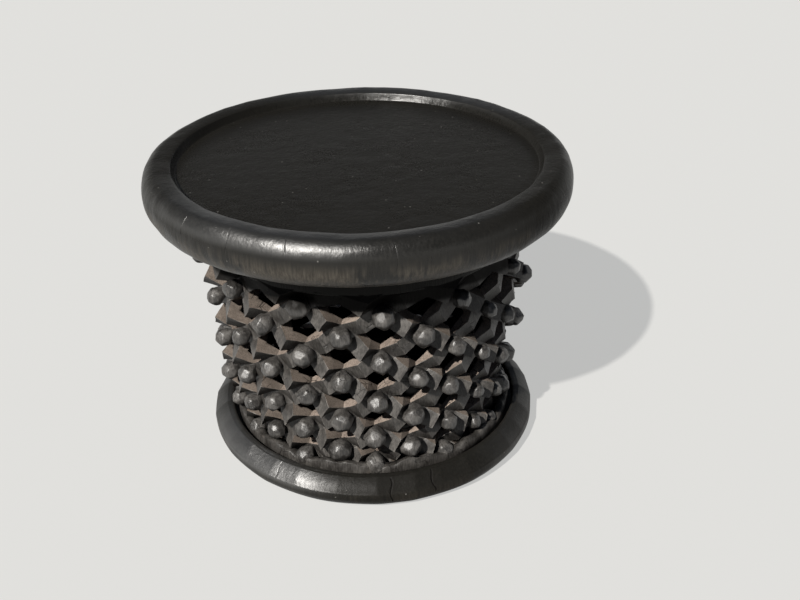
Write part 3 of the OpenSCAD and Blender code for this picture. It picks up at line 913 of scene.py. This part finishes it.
def lattice_wood(name, skin_dark, skin_light, cut_dark, cut_light, least_rough, wax):
    """Skin colours where the attribute cut is 0 and cut colours where it is 1, each mottled from dark to
    light, with painted shade on the walls that the attribute dull marks; then worn edges, which double as a
    painted highlight, fine checks, and painted shade on undersides, under the tray and in the hollow are laid
    over them in turn. The wax is the skin's shine."""
    f = Finish(name)
    fibre = f.noise(1.0, 5, 0.65, f.stretched(*FIBRE))
    mottle = f.noise(MOTTLE, 5, 0.62)
    patch = f.noise(PATCHES, 3, 0.5)
    pore = f.noise(PORES, 2, 0.6)
    gap = f.add("TexVoronoi", {"Vector": f.place, "Scale": CHECKS}, feature="DISTANCE_TO_EDGE")
    check = f.times(f.step(gap, 0.012, 0.030, 1.0, 0.0), f.step(f.noise(CHECK_CLUSTERS, 2, 0.5), 0.56, 0.60))
    hollow, under = f.attribute("hollow"), f.attribute("under")

    rubbed = f.math("MULTIPLY_ADD", mottle, 0.5, f.times(fibre, 0.5))
    skin = f.blend(f.step(rubbed, 0.40, 0.64), skin_dark, skin_light)
    end_grain = f.plus(f.times(fibre, 0.6), f.times(mottle, 0.4))
    # Painted shade on the cut walls at a window's upper right.
    dull = f.step(f.attribute("dull"), 0.35, 0.65, 0.0, 0.55)
    raw = f.coats(f.blend(f.step(end_grain, 0.38, 0.62), cut_dark, cut_light),
                  (dull, WALL_SHADE), (f.step(pore, 0.60, 0.70), PORE_BROWN))
    ragged = f.times(f.math("SUBTRACT", patch, 0.5), 0.5)
    seen = f.step(f.plus(f.attribute("cut"), ragged), 0.35, 0.65)
    # Light on the worn outer edges: wear, and a painted highlight along them.
    worn = f.times(f.step(f.attribute("worn"), 0.60, 0.95), f.step(mottle, 0.38, 0.58, 0.10, 1.0))
    # Painted shade under the tray: a near-black band below the collar.
    tray_shade = f.step(f.axis(2), CROWN_Z - TRAY_SHADE_LOW, CROWN_Z - TRAY_SHADE_HIGH, 0.0, 0.9)
    colour = f.coats(skin, (seen, raw), (worn, WORN_EDGE_HIGHLIGHT), (f.times(check, 0.85), CHECK_BLACK),
                     (f.times(under, 0.7), SHADE_BLACK), (tray_shade, DEEP_SHADE_BLACK), (f.step(hollow, 0.3, 0.8), DEEP_SHADE_BLACK))

    rough = f.plus(f.step(mottle, 0.3, 0.7, least_rough, least_rough + 0.14), f.times(seen, 0.30))
    glaze = f.times(f.step(seen, 0.2, 0.8, wax, 0.12), f.step(under, 0.1, 0.8, 1.0, 0.15))
    glaze = f.times(glaze, f.step(f.plus(hollow, tray_shade), 0.3, 0.8, 1.0, 0.1))
    relief = f.relief((fibre, 0.0004, 0.7), (mottle, 0.0012, 0.5), (pore, 0.00015, 0.5),
                      (check, -0.0006, 0.8))
    f.set(f.shader, {"Base Color": colour, "Roughness": rough, "Normal": relief, "Specular IOR Level": glaze})
    return f.material


net_finish = lattice_wood("greyed_net", skin_dark=(0.040, 0.037, 0.034), skin_light=(0.130, 0.122, 0.113),
                          cut_dark=(0.185, 0.150, 0.126), cut_light=(0.390, 0.320, 0.270),
                          least_rough=0.38, wax=0.42)
knob_finish = lattice_wood("rubbed_knobs", skin_dark=(0.028, 0.026, 0.024), skin_light=(0.150, 0.142, 0.133),
                           cut_dark=(0.08, 0.07, 0.06), cut_light=(0.12, 0.11, 0.10),
                           least_rough=0.34, wax=0.75)
print("finishes:", net_finish.name, knob_finish.name)

# %% [markdown]
# ## The scalloped foot
# Some wood was left standing on the ledge, just inside the lip, in low scallops between the last knobs.
# It could be cut from a plain ring with a Boolean, but a band of six rows is enough: only the height of
# the upper rows changes round the drum, and small waves make it as rough as the blade left it.

# %% The scalloped foot's surface
# Its radii inside and outside, and the heights of its hollows and of its tops.
FOOT_IN, FOOT_OUT, SCALLOP_LOW, SCALLOP_HIGH = 0.219, 0.2330, 0.0460, 0.0580


def foot_band(columns=420):
    """Six rows round, from inside low over the outside to inside high. The top rises by a power of the sine
    of half the spiders' angle."""
    turn = round_angles(columns)
    last = math.radians(FRONT_TURN - ROW_TWIST * (ROWS - 1))
    top = SCALLOP_LOW + (SCALLOP_HIGH - SCALLOP_LOW) * np.abs(np.sin(SPIDERS / 2 * (turn - last))) ** 0.7
    low = 0 * turn + LEDGE_Z - 0.001
    rows = [(FOOT_IN, low), (FOOT_OUT, low), (FOOT_OUT + 0.001, top * 0.5 + LEDGE_Z / 2),
            (FOOT_OUT, top - 0.002), (FOOT_OUT - 0.003, top), (FOOT_IN + 0.002, top - 0.001)]
    points = np.stack([about_axis(r, z, turn) for r, z in rows])
    rough = hand_work(points, (0.012, 41, 0.0009), (0.03, 42, 0.0020))
    points[..., 2] += rough * (points[..., 2] > LEDGE_Z + 0.005)
    points[..., 0] += FOOT_OFFSET
    return points, grid_faces(len(rows), columns, True)


foot_points, foot_faces = foot_band()
foot = mesh_piece("foot_band", foot_points, foot_faces, net_finish)
paint(foot, "cut", 0.10 + 0.2 * uneven(foot_points, 0.03, 43))
# Uneven painted shade over the whole band, the same as on undersides.
paint(foot, "under", 0.45 + 0.25 * uneven(foot_points, 0.02, 44))

# %% [markdown]
# ## The net
# Now the wall's quads become the net. Its flat strokes would look puffy if every vertex took the average of
# the faces round it, so a Weighted Normal modifier lets the large faces decide. The cut walls that face away
# from the sun, on the right, and the undersides get painted shade, nearly black.

# %% The net, one closed skin
points, normals, faces, (skin, cut, edge, hollow, dull) = arrays(softened(closed_mesh(quads, net_finish)))
carved = hand_work(points, (0.030, 31, 0.0005), (0.011, 32, 0.00018))
net = mesh_piece("spider_net", drifted(points + normals * carved[:, None]), faces, net_finish)
net.modifiers.new("flat facets", "WEIGHTED_NORMAL").weight = 80
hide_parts("crown_points", *[f"spider_row_{row}" for row in range(1, ROWS + 1)])

# %% Where the net is cut and worn, and where shade is painted on it
# The way the sun's light travels, and the degrees from the front at which the painted shade starts and grows
# full.
SUN_TRAVEL = (0.60, 0.85, -1.0)
SHADE_START, SHADE_REACH = 18, 18

to_sun = normals @ -np.array(SUN_TRAVEL) / np.linalg.norm(SUN_TRAVEL)
turn = np.arctan2(points[:, 0], -points[:, 1])
facing_out = normals[:, 0] * np.sin(turn) - normals[:, 1] * np.cos(turn)
on_the_right = ramp(np.degrees(turn) - SHADE_START, SHADE_REACH)
# Painted shade on the cut walls on the right that face away from the sun.
shade_away_from_sun = 1.3 * (cut + dull) * np.clip(1.6 - 3 * to_sun, 0, 1) * on_the_right

paint(net, "cut", (cut + dull) / np.maximum(cut + dull + skin, 1e-6))
# Where the cut walls at a window's upper right take their painted shade.
paint(net, "dull", dull / np.maximum(cut + dull, 1e-6))
# Painted shade on undersides and on the walls that face away from the sun.
paint(net, "under", np.clip(np.maximum(-1.6 * normals[:, 2], shade_away_from_sun), 0, 1))
# The worn outer edges are light: wear, and a painted highlight.
paint(net, "worn", edge * np.clip(facing_out * 3, 0, 1))
# Painted shade inside the drum: the faces towards the hollow and the inner edges.
paint(net, "hollow", np.clip(hollow + edge * (facing_out < 0), 0, 1))

# %% [markdown]
# ## The knobs
# A knob stands on each crossing. It was cut to a rough ball with a few flat strokes and rubbed
# smooth. A ball cut by planes has a simple formula: in each direction its radius is the distance to the
# nearest plane. Taking a high power mean over the planes in place of the nearest one rounds the edges.

# %% A softly cut ball
# How sharp the edges between strokes are, and the greatest radius in any direction.
SHARPNESS, LARGEST = 100, 1.12


def cut_ball(directions, planes, distances):
    """Radius along each direction: the planes' distances joined by a power mean, so that edges are round."""
    facing = np.maximum(directions @ planes.T, 0) / distances
    return (LARGEST ** -SHARPNESS + (facing ** SHARPNESS).sum(-1)) ** (-1 / SHARPNESS)


def strokes(draw):
    """Planes of one knob: its tip, a ring of five to seven on the shoulder, eight on the belly, five behind
    and a back. A ring's planes stand at even angles round the outward axis, and each is off by a little."""
    def ring(count, tilt):
        first = draw.uniform(0, 2 * np.pi)
        a = first + 2 * np.pi * (np.arange(count) + draw.uniform(-0.3, 0.3, count)) / count
        t = np.radians(tilt + draw.uniform(-8, 8, count))
        return np.stack([np.cos(t), np.sin(t) * np.cos(a), np.sin(t) * np.sin(a)], 1)

    tip = np.array([[1, *draw.uniform(-0.2, 0.2, 2)]])
    planes = np.concatenate([tip, ring(draw.integers(5, 8), 46), ring(8, 88), ring(5, 130), [[-1, 0, 0]]])
    planes /= np.linalg.norm(planes, axis=1, keepdims=True)
    return planes, draw.uniform(0.86, 1.0, len(planes))


# %% A knob on its crossing
# Knobs are smaller at these turns: degrees, squared reach, and the share taken off.
SMALLER = ((-62, 700, 0.17), (52, 600, 0.25))
# The neck that is drawn out behind a knob: its direction, its length in radii, and how narrow it is.
NECK_TO, NECK_LENGTH, NECK_POWER = (-0.86, 0, 0.51), 0.26, 8
# How far the ball's middle lies behind the tip, in radii, and the angle left open at its poles.
MIDDLE_IN, POLE_GAP = 1.01, 0.02


def knob(row, k, rings=20, around=34):
    """A ball on the crossing: rings by angle from its outward axis, drawn out behind to the crotch above, and
    turned to the drum's wall."""
    draw = np.random.default_rng(1000 + 40 * row + k)
    planes, distances = strokes(draw)
    tilt = np.linspace(POLE_GAP, np.pi - POLE_GAP, rings)[:, None]
    turn = round_angles(around)
    off_axis = np.sin(tilt)
    directions = np.stack([np.cos(tilt) + 0 * turn, off_axis * np.cos(turn), off_axis * np.sin(turn)], -1)

    place = crossing(row, k)
    angle = (place[0] / WRAP + 180) % 360 - 180
    smaller = sum(share * math.exp(-(angle - at) ** 2 / wide) for at, wide, share in SMALLER)
    size = KNOB_R * draw.uniform(0.87, 0.98) * (1 - smaller)
    neck = 1 + NECK_LENGTH * np.maximum(directions @ NECK_TO, 0) ** NECK_POWER
    ball = directions * (cut_ball(directions, planes, distances) * size * neck)[..., None]

    middle = np.array(wrapped(place, knee_radius(row) - VALLEY + KNOB_H - MIDDLE_IN * KNOB_R))
    a = math.radians(place[0] / WRAP)
    out, side = np.array([math.sin(a), -math.cos(a), 0]), np.array([math.cos(a), math.sin(a), 0])
    return drifted(middle[None, :])[0] + ball @ np.stack([out, side, (0, 0, 1)])


def shaded_side(ball):
    """For each point of a knob, how far it looks down: twice its depth below the knob's middle, in radii."""
    drop = ball[..., 2].mean() - ball[..., 2]
    return np.clip(2 * drop / KNOB_R - 0.3, 0, 1)


# %% All the knobs, in one piece
balls = np.array([knob(row, k) for row in range(1, ROWS + 1) for k in range(SPIDERS)])
_, rings, around, _ = balls.shape
poles = [np.arange(around)[::-1], (rings - 1) * around + np.arange(around)]
knob_faces = []
for start in range(0, len(balls) * rings * around, rings * around):
    knob_faces += (grid_faces(rings, around) + start).tolist() + [(pole + start).tolist() for pole in poles]

knobs = mesh_piece("knobs", balls, knob_faces, knob_finish)
paint(knobs, "under", [shaded_side(ball) for ball in balls])

# %% [markdown]
# ## The collar
# Above the net the drum flares out in a hollow curve under the tray. It is turned as the tray is, and
# its top runs two millimetres into the tray, as the log has no joint there. It is always in the
# tray's shade and was never polished, so its finish has next to no wax.

# %% The collar's surface
INTO_TRAY = 0.002
collar_finish = blackened_wood("blackened_collar", rub_low=0.0, rub_high=0.001, rub=0.0,
                               polish_low=1.0, polish_r=1.0, wax=0.08, sheen=0.0)
inner_r, outer_r = knee_radius(0) - WALL, COLLAR_R + COLLAR_FLARE
a = np.radians(np.linspace(0, 90, 12))
curve = np.stack([COLLAR_R + COLLAR_FLARE * (1 - np.cos(a)), CROWN_Z + (BOARD_Z - CROWN_Z) * np.sin(a)], 1)
corners = [(inner_r, CROWN_Z + 0.01), (inner_r, CROWN_Z), (COLLAR_R, CROWN_Z), tuple(curve[1])]
bottom = rounded(corners, 0.0012, 4)
top = [(outer_r, BOARD_Z + INTO_TRAY), (inner_r, BOARD_Z + INTO_TRAY)]
section = np.concatenate([bottom[:-1], curve[1:], top])
angles = round_angles(300)
collar_points = turned(section, angles)
collar_points[..., 0] += FOOT_OFFSET * (1 - CROWN_Z / FLOOR_Z)
collar = mesh_piece("collar_flare", collar_points, grid_faces(len(section), len(angles), True), collar_finish)
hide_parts("collar")

# %% [markdown]
# ## Floor and light
# The table stands on a plain pale floor. The photograph's sun comes over the camera's left shoulder,
# 44 degrees high, and a dim sky fills the shade. The floor shows the camera part of its colour as its
# own glow, so that the shadow stays as pale as in the photograph, and more light isn't needed. Low
# over the horizon the sky shows the same pale tone, to the camera, in reflections and through glass.

# %% The floor
# The background's colour, how much of it glows, what the floor throws back, and the floor's half width.
PALE, GLOW, BOUNCE, FLOOR_HALF = (0.734, 0.734, 0.718), 0.676, 0.12, 14.0
# Painted shade: under the hollow drum the floor is near black.
SHADE_UNDER_DRUM = (0.01, 0.01, 0.01)


def floor_material():
    """Shown to the camera and in reflections: the share GLOW of the colour is emitted, the rest is lit. Other
    rays see a darker floor, which throws less light up. Under the hollow drum the floor is painted near
    black, as painted shade."""
    f = Finish("pale_floor")
    x = f.math("SUBTRACT", f.axis(0), FOOT_OFFSET)
    away = f.math("SQRT", f.plus(f.math("POWER", x, 2.0), f.math("POWER", f.axis(1), 2.0)))
    open_air = f.step(away, HOLE_R, HOLE_R + 0.01)
    bounce = f.blend(open_air, SHADE_UNDER_DRUM, [BOUNCE * c for c in PALE])
    f.set(f.shader, {"Base Color": bounce, "Roughness": 0.9, "Specular IOR Level": 0.1})
    lit = f.add("BsdfDiffuse", {"Color": f.blend(open_air, SHADE_UNDER_DRUM, [c * (1 - GLOW) for c in PALE])})
    glowing = f.add("Emission", {"Color": f.blend(open_air, SHADE_UNDER_DRUM, PALE), "Strength": f.times(open_air, GLOW)})
    shown = f.add("AddShader", {0: lit, 1: glowing})
    mixed = f.add("MixShader", {0: f.shown_ray(), 1: f.shader.outputs[0], 2: shown})
    f.tree.links.new(mixed, f.tree.nodes["Material Output"].inputs["Surface"])
    return f.material


floor_mesh = bpy.data.meshes.new("floor")
corners = [(x * FLOOR_HALF, y * FLOOR_HALF, 0) for x, y in ((-1, -1), (1, -1), (1, 1), (-1, 1))]
floor_mesh.from_pydata(corners, [], [(0, 1, 2, 3)])
floor_mesh.materials.append(floor_material())
floor = placed("floor", floor_mesh)
print("floor half width", FLOOR_HALF)

# %% Sun and sky
SUN_STRENGTH, SUN_SIZE, SUN_COLOUR = 4.6, math.radians(1.2), (1.0, 0.965, 0.915)
SKY_STRENGTH, SKY_COLOUR = 0.10, (0.66, 0.78, 1.0)
# Sines of the angles over the horizon between which the pale tone gives way to the sky.
HAZE_LOW, HAZE_HIGH = 0.16, 0.28

sun = bpy.data.lights.new("sun", "SUN")
sun.energy, sun.angle, sun.color = SUN_STRENGTH, SUN_SIZE, SUN_COLOUR
placed("sun", sun).rotation_euler = Vector(SUN_TRAVEL).to_track_quat("-Z", "Y").to_euler()

bpy.context.scene.world = bpy.data.worlds.new("sky")
f = Finish("sky", bpy.context.scene.world)
sky = f.add("Background", {"Color": (*SKY_COLOUR, 1), "Strength": SKY_STRENGTH})
haze = f.add("Background", {"Color": (*PALE, 1), "Strength": 1.0})
low = f.times(f.shown_ray(), f.step(f.axis(2), HAZE_LOW, HAZE_HIGH, 1.0, 0.0))
mixed = f.add("MixShader", {0: low, 1: sky, 2: haze})
f.tree.links.new(mixed, f.tree.nodes["World Output"].inputs["Surface"])
bpy.context.scene.view_settings.view_transform = "Standard"
print("sun", SUN_STRENGTH, "sky", SKY_STRENGTH)
